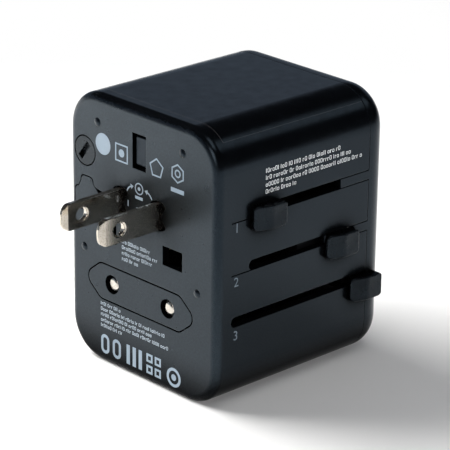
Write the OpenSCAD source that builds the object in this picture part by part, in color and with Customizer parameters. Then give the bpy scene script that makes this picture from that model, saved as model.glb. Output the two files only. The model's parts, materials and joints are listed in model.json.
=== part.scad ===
// Universal travel adapter: a rounded box with three sliding plug sets in its front face
// and a universal socket with two USB ports in its rear cover.
// Millimetres. X runs across the front, Y from front to rear, Z up. The origin is the middle
// of the bottom face. Inside the modules Y is measured from the front face.

/* [Case] */
// Width of the case
body_w = 50; // [49:0.5:56]
// Height of the case, standing on its narrow end
body_h = 65.5; // [64:0.5:72]
// Depth from the front face to the socket face
body_d = 54; // [53:0.5:58]
// Wall thickness of the case
wall = 2; // [1.6:0.1:2.2]
// Radius of the four long corners
corner_r = 9.6; // [8:0.2:11]
// Rounding of the edge around the front face
front_edge_r = 2; // [1:0.1:3]
// Rounding of the edge around the socket face
rear_edge_r = 5.5; // [3:0.1:6]
// Depth of the rear cover, from the seam to the socket face
cover_d = 6.5; // [6:0.1:7]
// Thickness of the socket face
face_t = 3; // [2.6:0.1:3.2]

/* [Plug layout] */
// Shift of all pins across the front face
pin_shift = -0.73; // [-1:0.01:0]
// Height of the earth pin's centre below the top
earth_drop = 10.2; // [10:0.1:11]
// Earth centre to the centre line of the two flat British pins
uk_drop = 22.23; // [22:0.01:22.5]
// Earth centre to the centre of the American blades
us_drop = 13.3; // [13:0.1:13.6]
// Earth centre to the centre line of the European pins
eu_drop = 34.8; // [34.4:0.1:35.2]
// Middle of the front face to a flat British pin
uk_pitch = 11.11; // [10.9:0.01:11.3]
// Middle of the front face to an American blade
us_pitch = 6.35; // [6.2:0.01:6.5]
// Middle of the front face to a round European pin
eu_pitch = 9.5; // [9:0.05:10]

/* [Pins] */
// Width of a flat British pin
uk_pin_w = 6.3; // [6.2:0.05:6.4]
// Height of a flat British pin
uk_pin_h = 4; // [3.8:0.05:4.1]
// Reach of a flat British pin when out
uk_pin_reach = 17.7; // [17:0.1:18.2]
// Width of the earth pin
earth_w = 4; // [3.8:0.05:4.1]
// Height of the earth pin
earth_h = 8; // [7.8:0.05:8.1]
// Reach of the earth pin when out
earth_reach = 22.7; // [22:0.1:23]
// Height of an American blade
blade_h = 6.35; // [6:0.05:6.5]
// Thickness of an American blade
blade_t = 1.5; // [1.4:0.05:1.6]
// Reach of an American blade when out
blade_reach = 17.8; // [17:0.1:18.2]
// Radius of the corners at a blade's tip
blade_tip_r = 2.4; // [1.4:0.1:2.8]
// Diameter of the hole near a blade's tip
blade_hole_d = 3.1; // [2.8:0.1:3.4]
// Diameter of a round European pin
eu_pin_d = 4; // [3.9:0.05:4.1]
// Depth of the European pin tips behind the front face
tip_recess = 0.3; // [0.2:0.1:1]

/* [Travels] */
// Travel of the American plug set
us_travel = 18.6; // [18.4:0.1:19]
// Travel of the British plug set
uk_travel = 23.3; // [23.3:0.1:23.6]
// Gap between the European slider and the rear cover, which sets the travel of nose and pins
eu_end_gap = 0.3; // [0.3:0.1:2]

/* [Sliders] */
// Height of a slider slot
slot_h = 2.5; // [2.2:0.1:2.7]
// Length of a slider knob
knob_l = 8.8; // [7.6:0.1:9.2]
// Height of a slider knob
knob_h = 5.8; // [5:0.1:6.4]
// Thickness of a knob at its front end
knob_thin = 1.2; // [0.7:0.1:1.4]
// Thickness of a knob behind its ramp
knob_thick = 2.7; // [2:0.1:3.4]
// Drop of the American knob's middle below its slot
us_knob_drop = 1.15; // [0.8:0.05:1.4]
// Drop of the British knob's middle below its slot
uk_knob_drop = 1.6; // [1.2:0.1:1.8]
// Drop of the European knob's middle below its slot
eu_knob_drop = 2; // [1.4:0.1:2.2]
// Start of the slots for the American and British knobs, from the front face
slot_start = 9.6; // [8.6:0.1:9.6]
// Start of the slot for the European knob
eu_slot_start = 4.3; // [3.6:0.1:4.6]

/* [Nose] */
// Width across the tips of the nose
nose_w = 35.2; // [34:0.1:36]
// Width of the flat part of the nose's upper edge
nose_flat = 25.4; // [24:0.1:26]
// Height of the nose
nose_h = 8.6; // [8.2:0.1:9]
// Gap around the nose in the front face
nose_gap = 0.35; // [0.3:0.05:0.5]
// Wall of the nose
nose_wall = 1.4; // [1.2:0.1:1.6]

/* [Fuses] */
// Diameter of the fuse cap's head
fuse_cap_d = 6.8; // [6.6:0.1:7]
// Diameter of a fuse
fuse_d = 5; // [4.8:0.1:5.2]
// Length of a fuse
fuse_l = 20; // [18:0.5:20]
// Middle of the two fuses, from the side of the case
fuse_inset = 5.6; // [5.6:0.1:5.8]
// Fuse cap's centre below the top
fuse_drop = 14.6; // [14.4:0.1:15]
// Spare fuse's centre below the top
spare_drop = 24.7; // [24.5:0.1:25]

/* [Socket] */
// Width of the socket plate
plate_w = 34; // [32:0.5:36]
// Height of the socket plate
plate_h = 36; // [35:0.5:37]
// Socket plate's centre below the top
plate_drop = 25.5; // [25:0.1:26]
// Earth hole of the socket below the top
socket_drop = 14.5; // [14.2:0.1:15]
// Travel of the shutter
shutter_travel = 5; // [4:0.1:5]
// Height of the USB ports above the bottom
usb_z = 9.6; // [9.4:0.1:10]
// Middle of the case to the middle of a USB port
usb_pitch = 9.6; // [9:0.1:10]

/* [Hidden] */
$fn = 48;
seam_y = body_d - cover_d;            // where case and cover meet
mid_z = body_h / 2;
side_x = body_w / 2;
inner_x = side_x - wall;
inner_r = corner_r - wall;
earth_z = body_h - earth_drop;
uk_z = earth_z - uk_drop;
us_z = earth_z - us_drop;
eu_z = earth_z - eu_drop;
us_slot_z = us_z + 3.65;               // the American arm runs above the blade turners
uk_slot_z = uk_z + 0.15;
eu_slot_z = eu_z + 0.35;
fuse_x = -side_x + fuse_inset;
fuse_z = body_h - fuse_drop;
spare_z = body_h - spare_drop;
plate_z = body_h - plate_drop;
socket_earth_z = body_h - socket_drop;
socket_uk_z = socket_earth_z - 22.23;
socket_us_z = socket_earth_z - 11.9;
fit_gap = 0.05;                       // running clearance of turning pieces
slide_gap = 0.2;                      // clearance of sliding pieces
seam_gap = 0.15;                      // open line between case and cover
turner_d = 8;                         // blade turner's diameter
us_front = wall + 0.4;                // American carrier's front, with the blades out
us_depth = 8.6;                       // carrier's depth along Y
us_left = pin_shift - us_pitch - turner_d / 2 - 0.8;
us_right = pin_shift + us_pitch + turner_d / 2 + 0.8;
us_low = us_z - turner_d / 2 - 0.4;
uk_front = wall + 1.6 + uk_travel;    // British carrier's front, with the pins in
uk_depth = 3.5;
uk_leg = [us_left - 3.3, us_left - 0.5];
uk_neck = [uk_front + 6.7, uk_front + 11.6];
us_neck = [slot_start + 0.6, slot_start + 5.7];
us_slot_end = us_neck[1] + us_travel + 4.3;        // squared end of the cover's long tongue
uk_slot_end = (uk_neck[1] + seam_y) / 2 + 0.3;     // hollow end of the cover's short tongue
// The European slider telescopes: the case's depth is shared by the nose and the pins' travel in it
eu_end = seam_y - eu_end_gap;         // rear end of the European arm
eu_neck = eu_end - 4.2;               // front of the European knob's neck
nose_flange = 2;
nose_front_t = 2.5;
eu_travel = (eu_neck - nose_front_t - 0.9) / 2;
nose_l = eu_travel + nose_front_t - 0.1;           // nose's length, its rear flange included
nose_travel = nose_l - nose_flange - wall - slide_gap;
eu_front = nose_l + slide_gap;        // European carrier's front, with the pins in
eu_depth = 3;
eu_arm_z = [eu_z - 1.2, eu_z + 2.6];    // the arm runs inside the nose and above the USB ports
rail_t = 0.6;
rail_x = [5.5, 10.5];                 // a rail's two edges, from the pins' middle
upper_rail_z = us_low - 0.3 - rail_t;
lower_rail_z = eu_z + nose_h / 2 + 1.8;
housing_y = [uk_front + uk_depth + 1.1, body_d - 4.9];
housing_x = 17.2;
housing_z = [socket_uk_z - 3.9, socket_earth_z + 6.5];
screw_x = 19.8;
screw_z = [housing_z[0] + 3.6, housing_z[1] - 2];
ear_y = body_d - 14;                  // rear face of the housing's ears
shutter_y = [body_d - 4.7, body_d - 3.2];
shutter_w = 30;
shutter_h = 21;
shutter_z = socket_us_z - 5.6;
shutter_low = shutter_z - shutter_h / 2;
spring_z = usb_z + 2.6;               // top of the ledge under the shutter's spring
board_t = 1.6;
board_top = usb_z - 3;
board_z = board_top - board_t;
usb_front = body_d - 15;              // front of the USB shells, which the board's parts keep to
fuse_front = 5.5;
fuse_end = fuse_front + fuse_l + 3.5; // rear end of the fuse's tube

case_color = [0.13, 0.14, 0.16];
knob_color = [0.11, 0.12, 0.14];
frame_color = [0.2, 0.21, 0.23];
metal_color = [0.78, 0.76, 0.72];
brass_color = [0.8, 0.65, 0.35];
white_color = [0.9, 0.9, 0.88];
board_color = [0.1, 0.35, 0.2];

// ---- shared shapes ----

// Moves a shape from front-face coordinates to the middle of the case
module placed() translate([0, -body_d / 2, 0]) children();

// Box from one corner to the opposite corner
module span(a, b) translate(a) cube(b - a);

// Cylinder along Y from y0 to y1
module rod(x, z, y0, y1, d) translate([x, y0, z]) rotate([-90, 0, 0]) cylinder(h = y1 - y0, d = d);

// Turns a flat outline so that it stands in the XZ plane and runs along Y from y0 to y1
module along_y(y0, y1) translate([0, y1, 0]) rotate([90, 0, 0]) linear_extrude(height = y1 - y0) children();

module rounded_rect(w, h, r) {
    square([w - 2 * r, h], center = true);
    square([w, h - 2 * r], center = true);
    for (x = [-1, 1], y = [-1, 1])
        translate([x * (w / 2 - r), y * (h / 2 - r)]) circle(r);
}

// Convex outline with round corners; the points run counter-clockwise around the corner centres
module rounded_polygon(points, r) {
    polygon(points);
    for (i = [0:len(points) - 1]) {
        a = points[i];
        b = points[(i + 1) % len(points)];
        out = [b[1] - a[1], a[0] - b[0]] / norm(b - a) * r;
        translate(a) circle(r);
        polygon([a, b, b + out, a + out]);
    }
}

// Section through a rounded box: rf rounds its two front corners, rr its two rear corners
module slab_profile(half_w, y0, y1, rf, rr) intersection() {
    translate([-half_w, y0]) square([2 * half_w, y1 - y0]);
    union() {
        translate([-half_w, y0 + rf]) square([2 * half_w, y1 - y0 - rf - rr]);
        if (rf > 0) {
            translate([rf - half_w, y0]) square([2 * (half_w - rf), rf]);
            for (s = [-1, 1]) translate([s * (half_w - rf), y0 + rf]) circle(rf);
        }
        if (rr > 0) {
            translate([rr - half_w, y1 - rr]) square([2 * (half_w - rr), rr]);
            for (s = [-1, 1]) translate([s * (half_w - rr), y1 - rr]) circle(rr);
        }
    }
}

// Box with round long corners and rounded front and rear edges, centred on the case's axis
module rounded_box(w, h, y0, y1, r, rf = 0, rr = 0) translate([0, 0, mid_z]) {
    linear_extrude(height = h - 2 * r, center = true) slab_profile(w / 2, y0, y1, rf, rr);
    rotate([0, -90, 0]) linear_extrude(height = w - 2 * r, center = true) slab_profile(h / 2, y0, y1, rf, rr);
    for (c = [[1, -1, 0], [1, 1, -90], [-1, 1, 180], [-1, -1, 90]])
        translate([c[0] * (w / 2 - r), 0, c[1] * (h / 2 - r)]) rotate([0, c[2], 0]) rotate([-90, 0, 0])
            rotate_extrude(angle = 90) intersection() {
                slab_profile(r, y0, y1, rf, rr);
                translate([0, y0]) square([r, y1 - y0]);
            }
}

// Hourglass hole that lets a blade lean either way
module blade_hole() intersection() {
    circle(3.6);
    polygon([[-0.95, 0], [-3.5, 4], [3.5, 4], [0.95, 0], [3.5, -4], [-3.5, -4]]);
}

// Outline of the European nose, made smaller or larger by grow
module nose_outline(grow) {
    r = 2.2;
    points = [
        [nose_w / 2 - r, 0], [nose_flat / 2, nose_h / 2 - r], [-nose_flat / 2, nose_h / 2 - r],
        [r - nose_w / 2, 0], [-nose_flat / 2, r - nose_h / 2], [nose_flat / 2, r - nose_h / 2]
    ];
    translate([pin_shift, eu_z]) rounded_polygon(points, r + grow);
}

// Slab with the outline of the spare fuse's cover: a wide foot, a narrow tab above it and sloping shoulders
module spare_slab(y0, y1, grow) {
    x = fuse_x + 0.6;
    along_y(y0, y1) translate([x + 0.8, spare_z - 1.7]) rounded_rect(10 + 2 * grow, 5.4 + 2 * grow, 1.2);
    along_y(y0, y1) translate([x, spare_z + 1.3]) rounded_rect(4.2 + 2 * grow, 5.4 + 2 * grow, 1.1);
    along_y(y0, y1) polygon([
        [x - 2.1 - grow, spare_z + 2.6], [x + 2.1 + grow, spare_z + 2.6], [x + 4 + grow, spare_z + 0.9],
        [x + 4, spare_z - 3], [x - 3, spare_z - 3], [x - 3 - grow, spare_z + 0.9]
    ]);
}

// Wire swept along a list of points; side is a direction that the wire never runs along
module swept_wire(path, r, side) {
    n = 8;
    last = len(path) - 1;
    function ring(i) =
        let (t = path[min(i + 1, last)] - path[max(i - 1, 0)], u = cross(t, side), v = cross(u, t))
        [for (k = [0:n - 1]) path[i] + r * (cos(360 * k / n) * u / norm(u) + sin(360 * k / n) * v / norm(v))];
    polyhedron(
        points = [for (i = [0:last]) each ring(i)],
        faces = concat(
            [[for (k = [0:n - 1]) k]],
            [for (i = [0:last - 1], k = [0:n - 1])
                let (a = i * n + k, b = i * n + (k + 1) % n) each [[a, a + n, b + n], [a, b + n, b]]],
            [[for (k = [n - 1:-1:0]) last * n + k]]));
}

// Compression spring along Z
module spring(r, wire_r, height, turns) {
    steps = 14;
    swept_wire([for (i = [0:turns * steps])
        [r * cos(360 * i / steps), r * sin(360 * i / steps), wire_r + (height - 2 * wire_r) * i / (turns * steps)]],
        wire_r, [0, 0, 1]);
}

// Slider knob: a plate with a ramp at its front, outside the case, on a neck that passes through its slot
module slider_knob(y0, slot_z, drop, neck0, neck1) {
    x0 = side_x + 0.3;
    z = slot_z - drop;
    intersection() {
        translate([x0, y0 + knob_l / 2, z]) rotate([90, 0, 90])
            linear_extrude(height = knob_thick + 1) rounded_rect(knob_l, knob_h, 1.1);
        translate([0, 0, z - knob_h]) linear_extrude(height = 2 * knob_h) polygon([
            [x0, y0], [x0 + knob_thin, y0], [x0 + knob_thick, y0 + 0.48 * knob_l],
            [x0 + knob_thick - 0.1, y0 + knob_l], [x0, y0 + knob_l]
        ]);
    }
    span([inner_x - 0.4, neck0, slot_z - slot_h / 2 + slide_gap],
         [x0 + 0.3, neck1, min(slot_z + slot_h / 2 - slide_gap, z + knob_h / 2 - 0.3)]);
}

// Flat pin from y0 to y1 with a chamfered tip, which is narrower by 2 * in_w and lower by 2 * in_h
module flat_pin(w, h, y0, y1, in_w, in_h) intersection() {
    translate([0, 0, -h]) linear_extrude(height = 2 * h) polygon([
        [in_w - w / 2, y0], [w / 2 - in_w, y0], [w / 2, y0 + 1.2], [w / 2, y1], [-w / 2, y1], [-w / 2, y0 + 1.2]
    ]);
    translate([-w, 0, 0]) rotate([90, 0, 90]) linear_extrude(height = 2 * w) polygon([
        [y0, in_h - h / 2], [y0 + 1.2, -h / 2], [y1, -h / 2], [y1, h / 2], [y0 + 1.2, h / 2], [y0, h / 2 - in_h]
    ]);
}

// ---- case ----

module main_case() color(case_color) placed() difference() {
    union() {
        difference() {
            rounded_box(body_w, body_h, 0, seam_y - seam_gap, corner_r, front_edge_r);
            rounded_box(body_w - 2 * wall, body_h - 2 * wall, wall, seam_y + 1, inner_r);
        }
        rod(fuse_x, fuse_z, wall - 0.5, fuse_end, 7.4);
        rod(fuse_x, spare_z, wall - 0.5, 5 + fuse_l, 7);
        // rails that guide the British carrier's bar
        for (z = [uk_z - 4.1, uk_z + 3.4])
            span([-inner_x - 0.5, wall - 0.5, z], [-inner_x + 2.5, uk_front + uk_depth + 2, z + 0.8]);
        // posts under the circuit board
        for (x = [-15, 15], y = [10, usb_front - 2])
            translate([x, y, wall - 0.5]) cylinder(h = board_z - wall + 0.5, d = 4);
        // four small pips near the corners of the front face
        for (s = [-1, 1]) {
            translate([pin_shift + 14.25 * s, 1.1, body_h - 6.7]) sphere(1.5);
            translate([pin_shift + 19.2 * s, 1.1, body_h - 38.3]) sphere(1.5);
        }
    }
    for (s = [-1, 1]) {
        along_y(-2, wall + 1) translate([pin_shift + s * us_pitch, us_z]) blade_hole();
        along_y(-2, wall + 1) translate([pin_shift + s * uk_pitch, uk_z])
            square([uk_pin_w + 0.2, uk_pin_h + 0.6], center = true);
    }
    along_y(-2, wall + 1) translate([pin_shift, earth_z]) square([earth_w + 0.55, earth_h + 0.4], center = true);
    along_y(-2, wall + 1) nose_outline(nose_gap);
    // fuse holder: a seat for the cap's head and a bore for its shank and the fuse
    rod(fuse_x, fuse_z, -1, 1.5, fuse_cap_d + 0.6);
    rod(fuse_x, fuse_z, 1, fuse_end + 1, 6);
    // spare fuse: a shallow seat for its cover and a blind bore
    spare_slab(-1, 1.5, 0.15);
    along_y(-1, 0.9) translate([fuse_x, spare_z])
        polygon([[3.2, 2.1], [6.3, 1.5], [6.3, 0.6], [4.2, 0.6]]);
    rod(fuse_x, spare_z, 1, 4 + fuse_l, fuse_d + 0.4);
    // slider slots, open at the seam
    for (s = [[us_slot_z, slot_start], [uk_slot_z, slot_start], [eu_slot_z, eu_slot_start]])
        translate([inner_x - 1, 0, s[0]]) rotate([90, 0, 90]) linear_extrude(height = wall + 3) {
            translate([s[1] + slot_h / 2, 0]) circle(slot_h / 2);
            translate([s[1] + slot_h / 2, -slot_h / 2]) square([seam_y - s[1], slot_h]);
        }
    // scored line where the two shorter slots stop
    for (z = [us_slot_z, uk_slot_z])
        span([side_x - 0.4, eu_slot_start, z - slot_h / 2], [side_x + 1, slot_start + 1.2, z - slot_h / 2 + 0.25]);
}

module socket_cover() color(case_color) placed() difference() {
    union() {
        difference() {
            rounded_box(body_w, body_h, seam_y, body_d, corner_r, 0, rear_edge_r);
            rounded_box(body_w - 6.4, body_h - 6.4, seam_y - 1, body_d - face_t, corner_r - 3.2);
        }
        // skirt that plugs into the case
        difference() {
            rounded_box(body_w - 2 * wall - 0.2, body_h - 2 * wall - 0.2, seam_y - 3, seam_y + 0.5, inner_r - 0.1);
            rounded_box(body_w - 6.4, body_h - 6.4, seam_y - 4, seam_y + 1, corner_r - 3.2);
            for (z = [us_slot_z, uk_slot_z, eu_slot_z])
                span([inner_x - 3, seam_y - 4, z - 3.4], [side_x, seam_y - 0.01, z + 3.4]);
        }
        // tongues that close the rear ends of two slots
        for (s = [[us_slot_z, us_slot_end, 0], [uk_slot_z, uk_slot_end, 1]])
            translate([inner_x + 0.05, 0, s[0]]) rotate([90, 0, 90]) linear_extrude(height = wall - 0.05)
                difference() {
                    translate([s[1] - s[2] * 1.2, -slot_h / 2 + slide_gap])
                        square([seam_y + 0.5 - s[1] + s[2] * 1.2, slot_h - 2 * slide_gap]);
                    if (s[2] > 0) translate([s[1] - 1.2, 0]) circle(1.2);
                }
        // posts for the housing screws
        for (x = [-screw_x, screw_x], z = screw_z) rod(x, z, ear_y + 0.02, body_d - face_t + 0.5, 4.6);
        // ledge under the shutter spring
        span([-2.6, body_d - 6.8, spring_z - 0.9], [2.6, body_d - face_t + 0.5, spring_z]);
    }
    along_y(body_d - 2, body_d + 1) translate([0, plate_z]) rounded_rect(plate_w + 0.4, plate_h + 0.4, 4.2);
    along_y(body_d - 6, body_d + 1) translate([0, plate_z]) rounded_rect(plate_w - 3, plate_h - 3, 3);
    for (s = [-1, 1]) along_y(body_d - 4, body_d + 1) translate([s * usb_pitch, usb_z]) rounded_rect(13.5, 6.1, 0.6);
    rod(0, usb_z, body_d - 4, body_d + 1, 2.5);
    for (x = [-screw_x, screw_x], z = screw_z) rod(x, z, ear_y - 1, ear_y + 7, 1.7);
}

// Pin holes of the universal socket, drawn around the middle of the case
module socket_holes() {
    translate([0, socket_earth_z]) square([5, 9.2], center = true);
    for (s = [-1, 1]) {
        translate([s * 11.11, socket_uk_z]) square([7.4, 4.9], center = true);
        translate([s * 9.5, socket_us_z]) circle(3);
        translate([s * 6.35, socket_us_z]) square([2.4, 8], center = true);
        translate([s * 7.2, socket_us_z]) rotate(s * 30) square([2.4, 8.4], center = true);
    }
}

module socket_plate() color(frame_color) placed() along_y(body_d - 2, body_d - 0.5) difference() {
    translate([0, plate_z]) rounded_rect(plate_w, plate_h, 4);
    socket_holes();
}

module socket_housing() color(frame_color) placed() difference() {
    union() {
        span([-housing_x, housing_y[0], housing_z[0]], [housing_x, housing_y[1], housing_z[1]]);
        for (s = [-1, 1], z = screw_z)
            span([s * (screw_x - 1) - 3, ear_y - 2, z - 2.4], [s * (screw_x - 1) + 3, ear_y, z + 2.4]);
    }
    // one chamber for each flat contact, one for the earth pin
    for (s = [-1, 1]) span([s * 10 - 5.9, housing_y[0] + 1.2, housing_z[0] + 1.1],
                           [s * 10 + 5.9, body_d, socket_us_z + 5.2]);
    span([-3.4, housing_y[0] - 1, socket_earth_z - 5.6], [3.4, body_d, socket_earth_z + 5.6]);
    // windows where the rails reach their contacts
    for (s = [-1, 1]) span([s * 8 + pin_shift - 1.6, housing_y[0] - 1, upper_rail_z - 2.2],
                           [s * 8 + pin_shift + 1.6, housing_y[0] + 2, upper_rail_z - 0.2]);
    for (s = [-1, 1], z = screw_z) rod(s * screw_x, z, ear_y - 3, ear_y + 1, 2.2);
}

module housing_screws() color(metal_color) placed()
    for (x = [-screw_x, screw_x], z = screw_z) difference() {
        union() {
            rod(x, z, ear_y - 3.3, ear_y - 2, 3.6);
            rod(x, z, ear_y - 2.2, ear_y + 6, 1.6);
        }
        span([x - 1.2, ear_y - 4, z - 0.25], [x + 1.2, ear_y - 2.7, z + 0.25]);
        span([x - 0.25, ear_y - 4, z - 1.2], [x + 0.25, ear_y - 2.7, z + 1.2]);
    }

module socket_shutter() color(white_color) placed() along_y(shutter_y[0], shutter_y[1]) difference() {
    translate([0, shutter_z]) rounded_rect(shutter_w, shutter_h, 1.5);
    // windows line up with the pin holes once the shutter has slid down
    for (s = [-1, 1]) {
        translate([s * 11.11, socket_uk_z + shutter_travel]) square([7.6, 4.5], center = true);
        translate([s * 8.6, socket_us_z + shutter_travel + 1]) square([8.4, 10], center = true);
    }
}

module shutter_spring() color(metal_color) placed()
    translate([0, body_d - 4.8, spring_z + 0.02]) spring(1.5, 0.25, shutter_low - spring_z - 0.04, 6);

// Folded strip contact for one side of the socket
module flat_contact(s) {
    back = housing_y[0] + 1.5;
    span([s * 10 - 5, back, socket_uk_z - 2.4], [s * 10 + 5, back + 0.5, socket_us_z + 4]);
    for (z = [socket_uk_z - 2.7, socket_uk_z + 2.2]) span([s * 11.1 - 3.4, back, z], [s * 11.1 + 3.4, housing_y[1] - 2, z + 0.5]);
    for (x = [4.75, 12.4]) span([s * (x + 0.25) - 0.25, back, socket_us_z - 4], [s * (x + 0.25) + 0.25, housing_y[1] - 2, socket_us_z + 4]);
}

module line_contact() color(brass_color) placed() flat_contact(-1);
module neutral_contact() color(brass_color) placed() flat_contact(1);

// Rail bent into a C around the British carrier's bar, with a tab into the housing
module feed_rail(s) {
    x0 = pin_shift + s * (rail_x[0] + rail_x[1]) / 2 - 2.5;
    strap = housing_y[0] - 0.2 - rail_t;
    for (z = [lower_rail_z, upper_rail_z]) span([x0, 5, z], [x0 + 5, strap + rail_t, z + rail_t]);
    span([x0, strap, lower_rail_z], [x0 + 5, strap + rail_t, upper_rail_z + rail_t]);
    span([s * 8 + pin_shift - 1.2, strap, upper_rail_z - 1.6], [s * 8 + pin_shift + 1.2, housing_y[0] + 1.48, upper_rail_z - 0.8]);
}

module line_rail() color(brass_color) placed() feed_rail(-1);
module neutral_rail() color(brass_color) placed() feed_rail(1);

// ---- American and Australian plug set, out at rest ----

module us_carrier() color(frame_color) placed() difference() {
    union() {
        along_y(us_front, us_front + us_depth) translate([(us_left + us_right) / 2, us_z])
            rounded_rect(us_right - us_left, 2 * (us_z - us_low), 3.6);
        // arm to the knob, bent rearward along the side wall
        span([us_right - 4.5, us_front + 2, us_slot_z - 1.6], [inner_x - 0.4, us_front + us_depth, us_slot_z + 0.9]);
        span([inner_x - 3.4, us_front + 2, us_slot_z - 1.6], [inner_x - 0.4, us_neck[1] + 0.3, us_slot_z + 0.9]);
    }
    for (s = [-1, 1]) rod(pin_shift + s * us_pitch, us_z, us_front - 1, us_front + us_depth + 1, turner_d + 2 * fit_gap);
}

module us_knob() color(knob_color) placed()
    slider_knob(us_neck[0] - 0.4, us_slot_z, us_knob_drop, us_neck[0], us_neck[1]);

// Round turner that lets a blade lean for the Australian plug
module blade_turner(s) difference() {
    union() {
        rod(pin_shift + s * us_pitch, us_z, us_front, us_front + us_depth + 0.1, turner_d);
        rod(pin_shift + s * us_pitch, us_z, us_front + us_depth + 0.1, us_front + us_depth + 1.2, turner_d + 0.8);
    }
    translate([pin_shift + s * us_pitch, 0, us_z])
        cube([blade_t, 40, blade_h], center = true);
}

module left_turner() color(knob_color) placed() blade_turner(-1);
module right_turner() color(knob_color) placed() blade_turner(1);

// Flat blade with round tip corners and a hole
module blade(s) translate([pin_shift + s * us_pitch - blade_t / 2, 0, us_z]) rotate([90, 0, 90])
    linear_extrude(height = blade_t) difference() {
        tail = us_front + us_depth + 1.6;
        union() {
            translate([-blade_reach + blade_tip_r, -blade_h / 2]) square([blade_reach - blade_tip_r + tail, blade_h]);
            translate([-blade_reach, blade_tip_r - blade_h / 2]) square([4, blade_h - 2 * blade_tip_r]);
            for (z = [-1, 1]) translate([blade_tip_r - blade_reach, z * (blade_h / 2 - blade_tip_r)])
                circle(blade_tip_r);
        }
        translate([5.8 - blade_reach, 0]) circle(d = blade_hole_d);
    }

module left_blade() color(metal_color) placed() blade(-1);
module right_blade() color(metal_color) placed() blade(1);

// ---- British plug set, in at rest ----

module uk_carrier() color(frame_color) placed() difference() {
    y1 = uk_front + uk_depth;
    union() {
        span([-inner_x + 0.4, uk_front, uk_z - 3], [inner_x - 0.4, y1, uk_z + 3.1]);
        span([uk_leg[0], uk_front, uk_z], [uk_leg[1], y1, earth_z + 2]);
        span([uk_leg[0], uk_front, earth_z - 3.4], [pin_shift + 3, y1, earth_z + 3.4]);
        span([pin_shift - 3, uk_front, earth_z - 4.8], [pin_shift + 3, y1, earth_z + 4.8]);
        span([inner_x - 3.4, uk_front, uk_slot_z - 1.8], [inner_x - 0.4, y1 + 8.2, uk_slot_z + 1.8]);
    }
    for (s = [-1, 1]) translate([pin_shift + s * uk_pitch, uk_front, uk_z]) cube([uk_pin_w, 5, uk_pin_h], center = true);
    translate([pin_shift, uk_front, earth_z]) cube([earth_w, 5, earth_h], center = true);
}

module uk_knob() color(knob_color) placed()
    slider_knob(uk_neck[0] - 0.4, uk_slot_z, uk_knob_drop, uk_neck[0], uk_neck[1]);

module earth_pin() color(case_color) placed() translate([pin_shift, 0, earth_z])
    flat_pin(earth_w, earth_h, uk_travel - earth_reach, uk_front + 2.5, 0.4, 0.8);

// Flat pin with a short spring tab that wipes the upper rail
module uk_flat_pin(s) translate([pin_shift + s * uk_pitch, 0, uk_z]) {
    flat_pin(uk_pin_w, uk_pin_h, uk_travel - uk_pin_reach, uk_front + 2.5, 0.8, 0.6);
    span([-s * 1.4 - 1.2, uk_front - 1.3, 0], [-s * 1.4 + 1.2, uk_front - 0.3, upper_rail_z - uk_z - 0.15]);
}

module uk_line_pin() color(metal_color) placed() uk_flat_pin(-1);
module uk_neutral_pin() color(metal_color) placed() uk_flat_pin(1);

// ---- European plug set, in at rest ----

module eu_nose() color(case_color) placed() difference() {
    union() {
        along_y(0, nose_l) nose_outline(0);
        along_y(nose_l - nose_flange, nose_l) nose_outline(0.9);
    }
    along_y(nose_front_t, nose_l + 1) nose_outline(-nose_wall);
    for (s = [-1, 1]) rod(pin_shift + s * eu_pitch, eu_z, -1, 3, eu_pin_d + 0.6);
}

module eu_carrier() color(frame_color) placed() difference() {
    union() {
        along_y(eu_front, eu_front + eu_depth) nose_outline(-nose_wall - 0.3);
        span([pin_shift - 4, eu_front, eu_arm_z[0]], [pin_shift + 4, eu_front + eu_depth, eu_z + 2.5]);
        span([pin_shift - 4, eu_front + eu_depth - 0.1, eu_arm_z[0]], [pin_shift + 4, eu_end, eu_arm_z[1]]);
        span([pin_shift, eu_neck - 0.6, eu_arm_z[0]], [inner_x - 0.4, eu_end, eu_arm_z[1]]);
    }
    for (s = [-1, 1]) rod(pin_shift + s * eu_pitch, eu_z, eu_front - 1, eu_front + 2, eu_pin_d - 0.6);
}

module eu_knob() color(knob_color) placed()
    slider_knob(eu_neck - 1.7, eu_slot_z, eu_knob_drop, eu_neck, eu_neck + 4);

// Round pin with a rounded tip and a thinner root
module round_pin(s) {
    x = pin_shift + s * eu_pitch;
    r = eu_pin_d / 2;
    tip_r = 0.7 * r;
    rod(x, eu_z, tip_recess + tip_r, eu_front, eu_pin_d);
    rod(x, eu_z, eu_front - 0.5, eu_front + 2, eu_pin_d - 0.6);
    translate([x, tip_recess, eu_z]) rotate([-90, 0, 0]) rotate_extrude() intersection() {
        square([r, tip_r + 0.1]);
        union() {
            translate([r - tip_r, tip_r]) circle(tip_r);
            square([r - tip_r, tip_r + 0.1]);
        }
    }
}

module eu_line_pin() color(metal_color) placed() round_pin(-1);
module eu_neutral_pin() color(metal_color) placed() round_pin(1);

// ---- fuses ----

module fuse_cap() color(knob_color) placed() difference() {
    union() {
        rod(fuse_x, fuse_z, 0, 1.4, fuse_cap_d);
        rod(fuse_x, fuse_z, 1.2, 5.4, 6 - 2 * fit_gap);
    }
    translate([fuse_x - 0.2, 0, fuse_z]) rotate([0, -52, 0]) cube([4.8, 2.2, 1.5], center = true);
}

// Ceramic tube with metal end caps
module fuse_body(x, z, y0) difference() {
    union() {
        rod(x, z, y0, y0 + fuse_l, fuse_d - 0.3);
        for (y = [y0, y0 + fuse_l - 4.5]) rod(x, z, y, y + 4.5, fuse_d);
    }
}

module main_fuse() color(white_color) placed() fuse_body(fuse_x, fuse_z, fuse_front);
module spare_fuse() color(white_color) placed() fuse_body(fuse_x, spare_z, 2.5);

module fuse_spring() color(metal_color) placed() translate([fuse_x, fuse_front + fuse_l + 0.02, fuse_z])
    rotate([-90, 0, 0]) spring(2, 0.25, fuse_end - fuse_front - fuse_l - 0.04, 3);

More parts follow.
